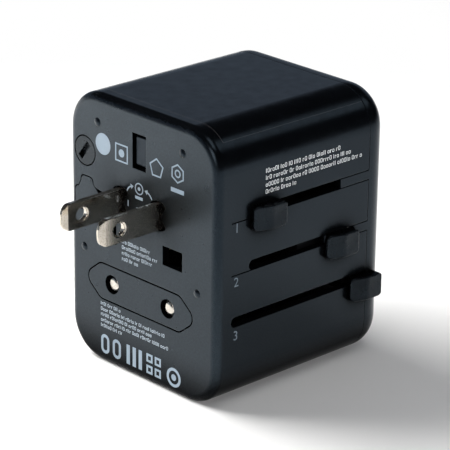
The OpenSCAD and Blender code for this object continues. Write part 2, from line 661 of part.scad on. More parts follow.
module fuse_contact() color(brass_color) placed() {
    rod(fuse_x, fuse_z, fuse_end, fuse_end + 0.5, 7);
    span([fuse_x - 1, fuse_end, fuse_z + 2], [fuse_x + 1, fuse_end + 0.5, fuse_z + 6]);
}

module spare_fuse_cover() color(case_color) placed() spare_slab(0, 1.45, -0.1);

// ---- USB supply ----

module usb_board() color(board_color) placed()
    span([-19, 6, board_z], [19, body_d - 5, board_top]);

module usb_shell(s) translate([s * usb_pitch, 0, usb_z]) difference() {
    along_y(usb_front, body_d - 0.8) rounded_rect(13.2, 5.8, 0.5);
    along_y(usb_front + 0.4, body_d) rounded_rect(12.5, 5.1, 0.3);
}

module usb_tongue(s) translate([s * usb_pitch, 0, usb_z])
    span([-5.55, usb_front + 0.42, 0.4], [5.55, body_d - 2.2, 2.25]);

module left_usb_shell() color(metal_color) placed() usb_shell(-1);
module right_usb_shell() color(metal_color) placed() usb_shell(1);
module left_usb_tongue() color(white_color) placed() usb_tongue(-1);
module right_usb_tongue() color(white_color) placed() usb_tongue(1);

// E-shaped core halves around a wound bobbin
module transformer_core() color([0.25, 0.25, 0.27]) placed() translate([-18.6, usb_front - 9, board_top]) difference() {
    cube([13, 6.5, 8]);
    for (x = [1.6, 8.2]) translate([x, -1, 1.6]) cube([3.2, 9, 4.8]);
}

module transformer_coil() color([0.85, 0.7, 0.2]) placed() translate([-18.6, usb_front - 9, board_top]) difference() {
    translate([1.8, -1.2, 1.8]) cube([9.4, 8.9, 4.4]);
    translate([4.75, -0.05, 1.55]) cube([3.5, 6.6, 4.9]);
}

module storage_capacitor() color([0.15, 0.2, 0.35]) placed() difference() {
    rod(11, board_top + 4, usb_front - 12.5, usb_front - 2, 8);
    rod(11, board_top + 4, usb_front - 2.3, usb_front - 1, 6.6);
}

// Four chips in front of the USB ports: middle of the front edge, then width, length and height
module board_chips() color([0.08, 0.08, 0.09]) placed()
    for (c = [[-1, 6.5, 6, 5, 1.6], [-12, 20, 5, 4, 1.5], [4, 22, 3, 4.5, 1.8], [12, 25, 4.5, 3, 1.4]])
        translate([c[0] - c[2] / 2, usb_front - c[1], board_top]) cube([c[2], c[3], c[4]]);

module indicator_led() color(white_color) placed() {
    span([-1.5, body_d - 8, board_top], [1.5, body_d - 5.4, usb_z]);
    rod(0, usb_z, body_d - 8, body_d - 3.6, 3);
}

module led_lens() color(white_color) placed() rod(0, usb_z, body_d - 3.4, body_d + 0.2, 2.4);

// Insulated wires from the rails down to the board
module line_wire() color([0.55, 0.3, 0.15]) placed()
    let (x = pin_shift - 8, y = housing_y[0] - 0.9, z = lower_rail_z, y1 = usb_front - 11.5)
    swept_wire([[x, y, z - 0.05], [x, y, z - 1.5], [x - 0.6, (y + y1) / 2, z - 4], [x - 1.4, y1, z - 6.8],
                [x - 1.4, y1, board_top + 0.1]], 0.65, [1, 0, 0]);

module neutral_wire() color([0.2, 0.35, 0.7]) placed()
    let (x = pin_shift + 8, y = housing_y[0] - 0.9, z = lower_rail_z, y1 = usb_front - 11.5)
    swept_wire([[x, y, z - 0.7], [x - 5, y - 1.1, z - 1.4], [x - 13, y - 2.2, z - 1.7], [x - 18.6, y - 2.2, z - 2.9],
                [x - 20, y1, z - 6.8], [x - 20, y1, board_top + 0.1]],
                0.65, [0, 1, 0.2]);

main_case();
socket_cover();
socket_plate();
socket_housing();
housing_screws();
socket_shutter();
shutter_spring();
line_contact();
neutral_contact();
line_rail();
neutral_rail();
us_carrier();
us_knob();
left_turner();
right_turner();
left_blade();
right_blade();
uk_carrier();
uk_knob();
earth_pin();
uk_line_pin();
uk_neutral_pin();
eu_nose();
eu_carrier();
eu_knob();
eu_line_pin();
eu_neutral_pin();
fuse_cap();
main_fuse();
fuse_spring();
fuse_contact();
spare_fuse_cover();
spare_fuse();
usb_board();
left_usb_shell();
right_usb_shell();
left_usb_tongue();
right_usb_tongue();
transformer_core();
transformer_coil();
storage_capacitor();
board_chips();
indicator_led();
led_lens();
line_wire();
neutral_wire();
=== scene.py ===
import json
import math

import bpy
import numpy as np
from mathutils import Matrix, Vector


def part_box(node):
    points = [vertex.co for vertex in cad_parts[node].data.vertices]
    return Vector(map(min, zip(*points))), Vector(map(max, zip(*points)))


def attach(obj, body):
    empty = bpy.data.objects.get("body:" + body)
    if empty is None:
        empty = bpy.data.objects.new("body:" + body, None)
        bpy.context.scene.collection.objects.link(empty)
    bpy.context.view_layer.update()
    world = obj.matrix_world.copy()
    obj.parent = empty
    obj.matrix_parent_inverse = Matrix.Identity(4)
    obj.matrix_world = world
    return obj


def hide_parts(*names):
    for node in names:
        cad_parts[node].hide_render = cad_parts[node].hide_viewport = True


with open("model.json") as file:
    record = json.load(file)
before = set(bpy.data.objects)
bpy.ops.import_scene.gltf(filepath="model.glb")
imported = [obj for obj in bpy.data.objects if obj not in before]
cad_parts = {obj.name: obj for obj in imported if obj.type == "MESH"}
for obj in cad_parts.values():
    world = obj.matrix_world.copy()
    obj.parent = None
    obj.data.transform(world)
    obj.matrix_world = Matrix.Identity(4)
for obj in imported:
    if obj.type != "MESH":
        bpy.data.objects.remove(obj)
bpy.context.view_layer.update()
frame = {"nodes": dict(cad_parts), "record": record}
mm = 0.001


def flatLevel(node, axis, high):
    # The level at one end of a solid where most of its corners lie
    levels = np.array([corner.co[axis] for corner in frame["nodes"][node].data.vertices]).round(5)
    end = levels > np.median(levels) if high else levels < np.median(levels)
    values, counts = np.unique(levels[end], return_counts=True)
    return float(values[counts.argmax()])


# Places that everything else is measured from, in metres
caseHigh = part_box("main_case")[1]
frontY = flatLevel("main_case", 1, False)
sideX = flatLevel("main_case", 0, True)
topZ = caseHigh.z
partingY = 4 * mm          # from the front face to the line that the mould's top slide leaves
partingLow = 0.85          # share of the height above which that slide reaches
partingWidth = (0.05 * mm, 0.13 * mm)     # its line is full up to the first distance and gone at the second


def meshObject(name, verts, faces, smooth=True):
    # One object at the origin from whole arrays. Where its volume (a sum over triangles of one corner times the
    # cross product of the other two) comes out negative, the faces are turned round
    verts = np.asarray(verts, float).reshape(-1, 3)
    faces = [list(map(int, face)) for face in faces]
    corners = np.array([[face[0], face[k], face[k + 1]] for face in faces for k in range(1, len(face) - 1)])
    a, b, c = verts[corners[:, 0]], verts[corners[:, 1]], verts[corners[:, 2]]
    if (a * np.cross(b, c)).sum() < 0:
        faces = [face[::-1] for face in faces]
    mesh = bpy.data.meshes.new(name)
    mesh.from_pydata(verts.tolist(), [], faces)
    mesh.update()
    if smooth:
        mesh.polygons.foreach_set("use_smooth", [True] * len(mesh.polygons))
    piece = bpy.data.objects.new(name, mesh)
    bpy.context.scene.collection.objects.link(piece)
    return piece


def gridFaces(rows, columns, closeRows=False):
    # Quads between neighbouring points of a rows by columns grid whose columns always close on themselves
    r, c = np.meshgrid(np.arange(rows if closeRows else rows - 1), np.arange(columns), indexing="ij")
    r2, c2 = (r + 1) % rows, (c + 1) % columns
    corners = np.stack([r * columns + c, r * columns + c2, r2 * columns + c2, r2 * columns + c], -1)
    return corners.reshape(-1, 4).tolist()


def stackLoops(loops):
    # Closed solid through a stack of loops of equal length, with one flat face at each end
    loops = np.asarray(loops, float)
    rows, columns = loops.shape[:2]
    faces = gridFaces(rows, columns)
    first, last = list(range(columns))[::-1], list(range((rows - 1) * columns, rows * columns))
    return loops.reshape(-1, 3), faces + [first, last]


def joinMeshes(parts):
    # One list of corners and faces from several, each numbered on from the one before
    verts, faces, count = [], [], 0
    for partVerts, partFaces in parts:
        verts.append(np.asarray(partVerts, float).reshape(-1, 3))
        faces += [[corner + count for corner in face] for face in partFaces]
        count += len(verts[-1])
    return np.vstack(verts), faces


def roundedRectangle(width, height, radius, perCorner=8):
    # Corner centres plus a radius turned through a quarter for each corner, counter-clockwise
    centres = np.array([[1, 1], [-1, 1], [-1, -1], [1, -1]]) * [width / 2 - radius, height / 2 - radius]
    t = np.linspace(0, math.pi / 2, perCorner) + (np.arange(4) * math.pi / 2)[:, None]
    return (centres[:, None] + radius * np.stack([np.cos(t), np.sin(t)], -1)).reshape(-1, 2)


def resample(loop, count):
    # Points at even steps of arc length round a closed outline
    closed = np.vstack([loop, loop[:1]])
    along = np.concatenate([[0], np.cumsum(np.linalg.norm(np.diff(closed, axis=0), axis=1))])
    at = np.linspace(0, along[-1], count, endpoint=False)
    return np.stack([np.interp(at, along, closed[:, i]) for i in range(closed.shape[1])], -1)


def dress(piece, body, slotName, material=None, standsFor=()):
    # Finish (the slot's, unless one is given), body, and the solid that this piece stands for
    paint(piece, material or finishes[slotName])
    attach(piece, body)
    if standsFor:
        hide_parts(*standsFor)


def newMaterial(name):
    material = bpy.data.materials.new(name)
    material.use_nodes = True
    tree = material.node_tree
    tree.nodes.clear()
    output = tree.nodes.new("ShaderNodeOutputMaterial")
    shader = tree.nodes.new("ShaderNodeBsdfPrincipled")
    tree.links.new(shader.outputs[0], output.inputs[0])
    return material, tree, shader


def addNoise(tree, scale, detail=4, roughness=0.5, stretch=(1, 1, 1)):
    place = tree.nodes.new("ShaderNodeTexCoord")
    mapping = tree.nodes.new("ShaderNodeMapping")
    mapping.inputs["Scale"].default_value = stretch
    noise = tree.nodes.new("ShaderNodeTexNoise")
    noise.inputs["Scale"].default_value = scale
    noise.inputs["Detail"].default_value = detail
    noise.inputs["Roughness"].default_value = roughness
    tree.links.new(place.outputs["Object"], mapping.inputs["Vector"])
    tree.links.new(mapping.outputs[0], noise.inputs["Vector"])
    return noise.outputs["Fac"]


def addRange(tree, value, low, high, fromLow=0.3, fromHigh=0.7):
    span = tree.nodes.new("ShaderNodeMapRange")
    span.inputs["From Min"].default_value = fromLow
    span.inputs["From Max"].default_value = fromHigh
    span.inputs["To Min"].default_value = low
    span.inputs["To Max"].default_value = high
    tree.links.new(value, span.inputs["Value"])
    return span.outputs["Result"]


def calculate(tree, operation, *values):
    # A sum on numbers or on what other nodes give
    step = tree.nodes.new("ShaderNodeMath")
    step.operation = operation
    for port, value in zip(step.inputs, values):
        if isinstance(value, (int, float)):
            port.default_value = value
        else:
            tree.links.new(value, port)
    return step.outputs[0]


def mixColors(tree, factor, a, b):
    mix = tree.nodes.new("ShaderNodeMix")
    mix.data_type = "RGBA"
    for socket, value in ((mix.inputs[6], a), (mix.inputs[7], b)):
        if isinstance(value, tuple):
            socket.default_value = (*value, 1)
        else:
            tree.links.new(value, socket)
    tree.links.new(factor, mix.inputs[0])
    return mix.outputs[2]


def roundedEdge(tree, radius, power):
    # Share of the lighter edge, partly rubbing and partly a painted highlight: how far the rounded normal leans
    # from the face's own one
    bevel = tree.nodes.new("ShaderNodeBevel")
    bevel.samples = 4
    bevel.inputs["Radius"].default_value = radius
    geometry = tree.nodes.new("ShaderNodeNewGeometry")
    dot = tree.nodes.new("ShaderNodeVectorMath")
    dot.operation = "DOT_PRODUCT"
    tree.links.new(bevel.outputs[0], dot.inputs[0])
    tree.links.new(geometry.outputs["Normal"], dot.inputs[1])
    return bevel.outputs[0], addRange(tree, dot.outputs["Value"], power, 0, 0.75, 1)


def addBump(tree, shader, height, strength, distance, normal=None):
    bump = tree.nodes.new("ShaderNodeBump")
    bump.inputs["Strength"].default_value = strength
    bump.inputs["Distance"].default_value = distance
    tree.links.new(height, bump.inputs["Height"])
    if normal is not None:
        tree.links.new(normal, bump.inputs["Normal"])
    tree.links.new(bump.outputs[0], shader.inputs["Normal"])


def openShare(tree, reach):
    # How open a face is: 1 where nothing stands near it, less in slots and beside whatever stands out of it
    near = tree.nodes.new("ShaderNodeAmbientOcclusion")
    near.samples = 8
    near.inputs["Distance"].default_value = reach
    return near.outputs["AO"]


def partingHighlightShare(tree, low, high):
    # Thin lines that the mould's top slide leaves, painted lighter as a painted highlight: along both upper
    # corners, where height and width fall short of the top and the side by the same amount, and across the top
    # behind the front edge
    place = tree.nodes.new("ShaderNodeTexCoord")
    split = tree.nodes.new("ShaderNodeSeparateXYZ")
    tree.links.new(place.outputs["Object"], split.inputs[0])
    x, y, z = split.outputs
    width = calculate(tree, "ABSOLUTE", x)
    lean = calculate(tree, "SUBTRACT", calculate(tree, "SUBTRACT", z, width), topZ - sideX)
    behind = calculate(tree, "SUBTRACT", y, frontY + partingY)
    lines = []
    for across, along in ((lean, behind), (behind, lean)):
        line = addRange(tree, calculate(tree, "ABSOLUTE", across), 1, 0, low, high)
        lines.append(calculate(tree, "MULTIPLY", line, calculate(tree, "GREATER_THAN", along, -low)))
    onTop = calculate(tree, "MULTIPLY", calculate(tree, "GREATER_THAN", z, partingLow * topZ),
                      calculate(tree, "LESS_THAN", y, caseHigh.y))
    return calculate(tree, "MULTIPLY", calculate(tree, "MAXIMUM", *lines), onTop)


def mouldedPlastic(name, dark, light, rough, grain, grainDepth, edge=0.2 * mm, rubbedHighlight=None, level=0.5,
                   sheen=(1, 1, 1), shade=None, partingHighlight=None, frontRough=None):
    # Two close tones in soft clouds, a fine spark grain and rounded edges a little lighter, partly rubbed and
    # partly a painted highlight. Where shade is given, the gloss is turned down beside whatever stands within
    # that distance, as painted shade
    material, tree, shader = newMaterial(name)
    clouds = addNoise(tree, 90, 3)
    color = mixColors(tree, addRange(tree, clouds, 0, 1), dark, light)
    rounded, rubbedHighlightShare = roundedEdge(tree, edge, 1 if rubbedHighlight else 0)
    # rounded edges turn lighter: partly rubbing, partly a painted highlight
    if rubbedHighlight:
        color = mixColors(tree, rubbedHighlightShare, color, rubbedHighlight)
    # painted highlight along the mould's parting lines
    if partingHighlight:
        color = mixColors(tree, partingHighlightShare(tree, *partingWidth), color, partingHighlight)
    tree.links.new(color, shader.inputs["Base Color"])
    fine = addNoise(tree, grain, 2, 0.6)
    lustre = addRange(tree, addNoise(tree, 400, 3), rough - 0.04, rough + 0.04)
    if frontRough:
        # faces that look forward have a matter texture than the rest
        split = tree.nodes.new("ShaderNodeSeparateXYZ")
        tree.links.new(tree.nodes.new("ShaderNodeNewGeometry").outputs["Normal"], split.inputs[0])
        extra = addRange(tree, split.outputs["Y"], frontRough - rough, 0, -1, -0.7)
        lustre = calculate(tree, "ADD", lustre, extra)
    tree.links.new(lustre, shader.inputs["Roughness"])
    shader.inputs["Specular IOR Level"].default_value = level
    # painted shade: the gloss falls in slots and beside knobs and blades, wherever the face is less open
    if shade:
        shadedGloss = addRange(tree, openShare(tree, shade), 0.05 * level, level, 0.68, 0.98)
        tree.links.new(calculate(tree, "MULTIPLY", shadedGloss, addRange(tree, fine, 0.86, 1.14)),
                       shader.inputs["Specular IOR Level"])
    shader.inputs["Specular Tint"].default_value = (*sheen, 1)
    addBump(tree, shader, fine, 0.5, grainDepth, rounded)
    return material


def platedMetal(name, dark, light, rough, stretch, scratch=0.15, edge=0.12 * mm):
    # Metal with fine lines along its length and uneven lustre
    material, tree, shader = newMaterial(name)
    shader.inputs["Metallic"].default_value = 1
    color = mixColors(tree, addRange(tree, addNoise(tree, 160, 4), 0, 1), dark, light)
    tree.links.new(color, shader.inputs["Base Color"])
    lines = addNoise(tree, 900, 3, 0.6, stretch)
    tree.links.new(addRange(tree, lines, rough - 0.05, rough + 0.08), shader.inputs["Roughness"])
    rounded, _ = roundedEdge(tree, edge, 0)
    addBump(tree, shader, lines, scratch, 0.01 * mm, rounded)
    return material


def speckledMetal(name, dark, light, rough):
    # Barrel-plated metal: fine dark specks over slow clouds, and a lustre that follows the specks
    material, tree, shader = newMaterial(name)
    specks = addNoise(tree, 4200, 3, 0.7)
    tree.links.new(addRange(tree, specks, 1, 0.9, 0.5, 0.62), shader.inputs["Metallic"])
    clouds = addNoise(tree, 260, 3)
    base = mixColors(tree, addRange(tree, clouds, 0, 1), tuple(0.82 * c for c in light), light)
    color = mixColors(tree, addRange(tree, specks, 1, 0, 0.36, 0.52), base, dark)
    tree.links.new(color, shader.inputs["Base Color"])
    tree.links.new(addRange(tree, specks, rough + 0.12, rough, 0.36, 0.55), shader.inputs["Roughness"])
    rounded, _ = roundedEdge(tree, 0.1 * mm, 0)
    addBump(tree, shader, specks, 0.2, 0.004 * mm, rounded)
    return material


def boardFinish(name, base, copper):
    # Solder mask with lighter tracks under it
    material, tree, shader = newMaterial(name)
    place = tree.nodes.new("ShaderNodeTexCoord")
    brick = tree.nodes.new("ShaderNodeTexBrick")
    brick.inputs["Scale"].default_value = 260
    brick.inputs["Mortar Size"].default_value = 0.04
    brick.inputs["Color1"].default_value = (*base, 1)
    brick.inputs["Color2"].default_value = (*[c * 0.85 for c in base], 1)
    brick.inputs["Mortar"].default_value = (*copper, 1)
    tree.links.new(place.outputs["Object"], brick.inputs["Vector"])
    tree.links.new(brick.outputs["Color"], shader.inputs["Base Color"])
    tree.links.new(addRange(tree, addNoise(tree, 500), 0.25, 0.4), shader.inputs["Roughness"])
    return material


def clearFinish(name, tint):
    material, tree, shader = newMaterial(name)
    shader.inputs["Transmission Weight"].default_value = 0.9
    shader.inputs["IOR"].default_value = 1.49
    color = mixColors(tree, addNoise(tree, 300), tint, tuple(0.94 * c for c in tint))
    tree.links.new(color, shader.inputs["Base Color"])
    tree.links.new(addRange(tree, addNoise(tree, 700), 0.05, 0.12), shader.inputs["Roughness"])
    return material


def printedInk(name, dark, light):
    return mouldedPlastic(name, dark, light, 0.5, 5200, 0.004 * mm, edge=0.01 * mm)


black = ((0.0012, 0.0014, 0.0018), (0.0018, 0.0021, 0.0026))
frameBlack = ((0.0022, 0.0024, 0.0028), (0.0032, 0.0034, 0.004))
finishes = {
    # slot: name, two tones, roughness, size of the grain, its depth
    "case_plastic": mouldedPlastic("caseBlack", *black, 0.23, 2600, 0.008 * mm, rubbedHighlight=(0.004, 0.005, 0.006),
                                   level=0.48, sheen=(0.6, 0.81, 1), shade=12 * mm,
                                   partingHighlight=(0.024, 0.023, 0.024), frontRough=0.31),
    "knob_plastic": mouldedPlastic("knobBlack", *black, 0.28, 6400, 0.006 * mm, rubbedHighlight=(0.003, 0.0035, 0.0042),
                                   level=0.35, sheen=(0.66, 0.84, 1)),
    "frame_plastic": mouldedPlastic("frameBlack", *frameBlack, 0.5, 4200, 0.012 * mm, level=0.3),
    "white_plastic": mouldedPlastic("housingWhite", (0.66, 0.65, 0.61), (0.72, 0.71, 0.67), 0.4, 3800,
                                    0.008 * mm),
    "ceramic": mouldedPlastic("fuseCeramic", (0.68, 0.66, 0.6), (0.76, 0.74, 0.68), 0.22, 2600, 0.004 * mm),
    "core": mouldedPlastic("ferriteCore", (0.02, 0.02, 0.021), (0.035, 0.035, 0.036), 0.5, 3200, 0.02 * mm),
    "coil": mouldedPlastic("coilTape", (0.55, 0.33, 0.02), (0.68, 0.43, 0.04), 0.3, 2200, 0.01 * mm),
    "sleeve": mouldedPlastic("capacitorSleeve", (0.008, 0.012, 0.04), (0.012, 0.018, 0.055), 0.22, 2800,
                             0.004 * mm),
    "chip": mouldedPlastic("chipResin", (0.008, 0.008, 0.009), (0.014, 0.014, 0.015), 0.5, 5200, 0.01 * mm),
    "brown_wire": mouldedPlastic("brownInsulation", (0.1, 0.035, 0.012), (0.13, 0.05, 0.018), 0.4, 4200,
                                 0.006 * mm),
    "blue_wire": mouldedPlastic("blueInsulation", (0.01, 0.03, 0.14), (0.015, 0.04, 0.18), 0.4, 4200,
                                0.006 * mm),
    # slot: name, two tones, roughness, how the lines are stretched
    "nickel": platedMetal("pinNickel", (0.52, 0.49, 0.43), (0.66, 0.62, 0.56), 0.24, (1, 0.08, 1)),
    "brass": platedMetal("springBrass", (0.62, 0.46, 0.2), (0.72, 0.55, 0.27), 0.28, (1, 0.1, 1)),
    "steel": platedMetal("platedSteel", (0.5, 0.5, 0.51), (0.62, 0.62, 0.62), 0.3, (1, 0.2, 1)),
    "board": boardFinish("circuitBoard", (0.012, 0.085, 0.035), (0.03, 0.16, 0.06)),
    "lens": clearFinish("indicatorLens", (0.82, 0.88, 0.9)),
}
# The case's black with a rougher finish and lower gloss; the lower gloss is painted shade for the pin's recess
earthShadedPlastic = mouldedPlastic("earthPinShadedBlack", *black, 0.36, 5200, 0.008 * mm, level=0.34, sheen=(0.5, 0.74, 1))
bladeNickel = speckledMetal("bladeNickel", (0.28, 0.26, 0.18), (0.80, 0.73, 0.64), 0.13)
printWhite = printedInk("printWhite", (0.84, 0.87, 0.88), (0.90, 0.92, 0.93))
printPale = printedInk("printPale", (0.25, 0.32, 0.39), (0.31, 0.39, 0.47))
printLines = printedInk("printLines", (0.5, 0.59, 0.67), (0.58, 0.67, 0.75))
printGrey = printedInk("printGrey", (0.10, 0.13, 0.16), (0.13, 0.17, 0.2))


def paint(piece, material):
    piece.data.materials.clear()
    piece.data.materials.append(material)


for entry in frame["record"]["subparts"]:
    if entry["node"] in frame["nodes"]:
        paint(frame["nodes"][entry["node"]], finishes[entry["material_slot"]])
paint(frame["nodes"]["earth_pin"], earthShadedPlastic)
print("finishes on", len(frame["nodes"]), "nodes")


knob = {
    "cornerRadius": 1.1 * mm,      # corners of the plate, seen from the side
    "rampShare": 0.48,             # share of the length taken by the ramp
    "frontThickness": 1.2 * mm,
    "bend": 0.3 * mm,              # half the length over which the ramp turns level
    "bendDrop": 0.08 * mm,         # what it still has to climb there
    "rearDrop": 0.1 * mm,          # the level part falls by this much towards its rear end
    "edgeRadius": 0.4 * mm,
    "caseGap": 0.3 * mm,           # air between plate and case
    "dish": 0.15 * mm,             # hollow for a fingertip
    "neckHeight": 2.1 * mm,
    "neckInPlate": 0.2 * mm,
    "neckRadius": 0.3 * mm,
    "neckFromTop": 0.3 * mm,       # least distance between the neck and the plate's upper edge
    "pieces": {
        # node: body, height of the slot above the plate's middle, neck's front behind the plate's, its length
        "us_knob": ("us_set", 1.15 * mm, 0.4 * mm, 5.1 * mm),
        "uk_knob": ("uk_set", 1.6 * mm, 0.4 * mm, 4.9 * mm),
        "eu_knob": ("eu_set", 2.0 * mm, 1.7 * mm, 4.0 * mm),
    },
}


def knobPlate(low, high, values):
    # Sections across the plate, one per step along it. Half width: full, less the corner's arc near each end.
    # Height: a ramp, then a slow fall, less a hollow (sine along times cosine squared across), less a quarter
    # circle near the rim
    base = sideX + values["caseGap"]
    length, half, middle = high.y - low.y, (high.z - low.z) / 2, (high.z + low.z) / 2
    r, corner = values["edgeRadius"], values["cornerRadius"]
    bend = corner * (1 - np.cos(np.linspace(0, math.pi / 2, 12)))
    rim = r * (1 - np.cos(np.linspace(0, math.pi / 2, 7)))
    along = np.unique(np.concatenate([rim, bend, np.linspace(corner, length - corner, 30), length - bend,
                                      length - rim]).round(9))
    ramp = values["rampShare"] * length
    loops = []
    for y in along:
        fromEnd = min(y, length - y)
        width = half - corner + math.sqrt(max(corner ** 2 - max(corner - fromEnd, 0) ** 2, 0))
        top = np.interp(y, [0, ramp - values["bend"], ramp + values["bend"], length],
                        [values["frontThickness"], high.x - base - values["bendDrop"], high.x - base,
                         high.x - base - values["rearDrop"]])
        endDrop = r - math.sqrt(max(r ** 2 - max(r - fromEnd, 0) ** 2, 0))
        inside = np.concatenate([rim, np.linspace(r, width, 9)[1:]])
        sideDrop = r - np.sqrt(np.clip(r ** 2 - np.clip(r - inside, 0, None) ** 2, 0, None))
        across = np.cos(math.pi / 2 * (1 - inside / width)) ** 2
        hollow = values["dish"] * math.sin(math.pi * y / length) * across
        height = top - np.maximum(endDrop, sideDrop) - hollow * (inside > r)
        z = np.concatenate([-width + inside, (width - inside)[:-1][::-1]])
        x = np.concatenate([height, height[:-1][::-1]])
        z, x = np.concatenate([[-width], z, [width]]), np.concatenate([[0], x, [0]])
        loops.append(np.column_stack([base + x, np.full(len(x), low.y + y), middle + z]))
    return stackLoops(loops)


def buildKnob(node, values):
    body, slotAbove, start, length = values["pieces"][node]
    low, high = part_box(node)
    slotZ = (low.z + high.z) / 2 + slotAbove
    bottom = slotZ - values["neckHeight"] / 2
    top = min(slotZ + values["neckHeight"] / 2, high.z - values["neckFromTop"])
    section = roundedRectangle(length, top - bottom, values["neckRadius"], 4)
    section += [low.y + start + length / 2, (top + bottom) / 2]
    ends = np.array([low.x, sideX + values["caseGap"] + values["neckInPlate"]])
    neck = [np.column_stack([np.full(len(section), x), section]) for x in ends]
    piece = meshObject(node + ".moulded", *joinMeshes([knobPlate(low, high, values), stackLoops(neck)]))
    dress(piece, body, "knob_plastic", standsFor=[node])


for node in knob["pieces"]:
    buildKnob(node, knob)
print("knobs ready")


blade = {
    "tipRadius": 2.6 * mm,
    "edgeRadius": 0.16 * mm,
    "holeRadius": 1.55 * mm,
    "holeEdge": 0.4 * mm,          # rounding of the hole's rim
    "holeFromFace": 12 * mm,
    "bevel": 1.7 * mm,             # length of the slope at the tip
    "bevelDepth": 0.42 * mm,       # how far each side falls along it
    "bodies": {"left_blade": "left_blade_turner", "right_blade": "right_blade_turner"},
}


def bladeGrid(low, high, values):
    # Rings between the hole and the outline, over one side and back over the other. Half thickness: full, less
    # a slope near the tip, less a quarter circle wherever the hole's or the outline's edge is near
    half = np.array([high.y - low.y, high.z - low.z]) / 2
    middle = np.array([high.y + low.y, high.z + low.z]) / 2
    outline = resample(roundedRectangle(*(2 * half), values["tipRadius"], 10), 260) + middle
    rear = outline[:, 0] > middle[0]     # the corners at this end are square
    fromMiddle = outline[rear, 1] - middle[1]
    outline[rear, 1] = np.where(np.abs(fromMiddle) > half[1] - values["tipRadius"],
                                middle[1] + np.sign(fromMiddle) * half[1], outline[rear, 1])
    hole = np.array([frontY - values["holeFromFace"], middle[1]])
    spoke = outline - hole
    reach = np.linalg.norm(spoke, axis=1)
    inner = hole + spoke / reach[:, None] * values["holeRadius"]
    reach = reach - values["holeRadius"]
    r, rim = values["edgeRadius"], values["holeEdge"]
    arc = 1 - np.cos(np.linspace(0, math.pi / 2, 6))
    walks = [np.full(len(reach), step) for step in rim * arc]
    walks += [rim + share * (reach - rim - r) for share in np.linspace(0, 1, 26)[1:-1]]
    walks += [reach - step for step in (r * arc)[::-1]]
    unit = spoke / np.linalg.norm(spoke, axis=1)[:, None]
    sides = []
    for walked in walks:
        flat = inner + unit * walked[:, None]
        slope = values["bevelDepth"] * np.clip(1 - (flat[:, 0] - low.y) / values["bevel"], 0, 1)
        inHole, inEdge = np.clip(rim - walked, 0, None), np.clip(r - reach + walked, 0, None)
        holeDrop = rim - np.sqrt(np.clip(rim ** 2 - inHole ** 2, 0, None))
        edgeDrop = r - np.sqrt(np.clip(r ** 2 - inEdge ** 2, 0, None))
        sides.append(((high.x - low.x) / 2 - slope - edgeDrop - holeDrop, flat))
    x = (high.x + low.x) / 2
    loops = [np.column_stack([x + thickness, flat]) for thickness, flat in sides]
    loops += [np.column_stack([x - thickness, flat]) for thickness, flat in sides[::-1]]
    loops = np.array(loops)
    return loops.reshape(-1, 3), gridFaces(len(loops), loops.shape[1], closeRows=True)


for node, body in blade["bodies"].items():
    piece = meshObject(node + ".stamped", *bladeGrid(*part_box(node), blade))
    dress(piece, body, "nickel", bladeNickel, [node])
print("blades ready")


marks = {
    "thickness": 0.03 * mm,
    "sunk": 0.01 * mm,             # how far a mark sits in the surface that carries it
    # the rest are millimetres on the front face, x from its middle and z from the foot
    "stroke": 0.36,
    "disc": (-13.1, 54.05, 2.55),
    "square": (-6.75, 53.5, 4.3, 0.95),       # with a dot of this radius in it
    "pentagon": (5.05, 53.1, 2.45),
    "hexagon": (12.0, 53.7, 2.3, 0.42),       # with a ring of this share in it
    "bars": [(9.8, 14.1, 49.15, 50.15), (-4.7, -4.35, 41.5, 42.95), (-2.1, 0.4, 44.05, 44.75),
             (-1.7, 0.1, 41.6, 42.0)],
    "ring": (-0.8, 46.6, 1.42, 0.3, 0.45),    # its stroke, and the radius of the dot in it
    "arrows": [(-4.9, 45.1, -2.9, 46.7, 0.35), (3.5, 45.2, 1.3, 46.65, -0.35)],
    "arrowHalfWidth": 0.17,
    "arrowHead": (0.62, 0.35),                # half its width, and how far its point runs on
    # a row at the foot of the face
    "pills": ((-12.75, -8.65), 4.8, 2.9, 4.8, 1.4, 0.75),      # places, z, width, height, corner, stroke
    "footBars": ((-5.2, -3.1, -1.0), 1.15, 2.4, 7.25),         # left ends, width, foot and top
    "tiles": ((2.75, 5.6), (3.45, 6.3), 2.1, 0.55),            # places across and up, size, stroke
    "target": (11.0, 4.3, 2.35, 0.7, 0.8),                     # place, radius, stroke, dot
    "frontLines": [
        # left end, right end, foot of the letters, their height
        (-6.7, 2.9, 31.9, 0.9), (-6.7, 5.3, 30.5, 0.9), (-6.7, 3.5, 29.1, 0.9), (-6.7, -1.5, 27.7, 0.9),
        (-14.2, -7.0, 14.4, 0.85), (-14.2, 8.2, 13.05, 0.85), (-14.2, 3.6, 11.7, 0.85),
        (-14.2, 9.2, 10.3, 0.85), (-14.2, -6.6, 8.95, 0.85),
    ],
    "sideLines": [
        # from the front face, as above
        (14.4, 37.6, 54.0, 1.02), (14.4, 40.9, 52.35, 1.02), (14.4, 45.2, 50.7, 1.02),
        (14.4, 23.9, 49.1, 1.02),
    ],
    "dashes": {
        # width and height of each kind, and the rest, are shares of the height of the line
        "kinds": ((0.22, 1), (0.6, 0.72), (0.62, 1), (0.45, 0.72)),
        "ringStroke": 0.125, "barWidth": 0.15, "serif": 0.15, "gap": 0.22, "wordGap": 0.38, "rightMargin": 0.3,
    },
    "numbers": [("1", 5.0, 42.15), ("2", 5.0, 29.35), ("3", 5.0, 16.5)],
    "numberHeight": 2.3,
    "typeSize": 1.38,              # size of the type for a figure of height 1
}


def regular(x, z, radius, sides):
    # Corners at even angles on a circle, the first one at the top
    t = math.pi / 2 + np.arange(sides) / sides * 2 * math.pi
    return np.column_stack([x + radius * np.cos(t), z + radius * np.sin(t)])


def rectangle(x0, x1, z0, z1):
    return np.array([[x0, z0], [x1, z0], [x1, z1], [x0, z1]])


def square(x, z, size):
    return rectangle(x - size / 2, x + size / 2, z - size / 2, z + size / 2)


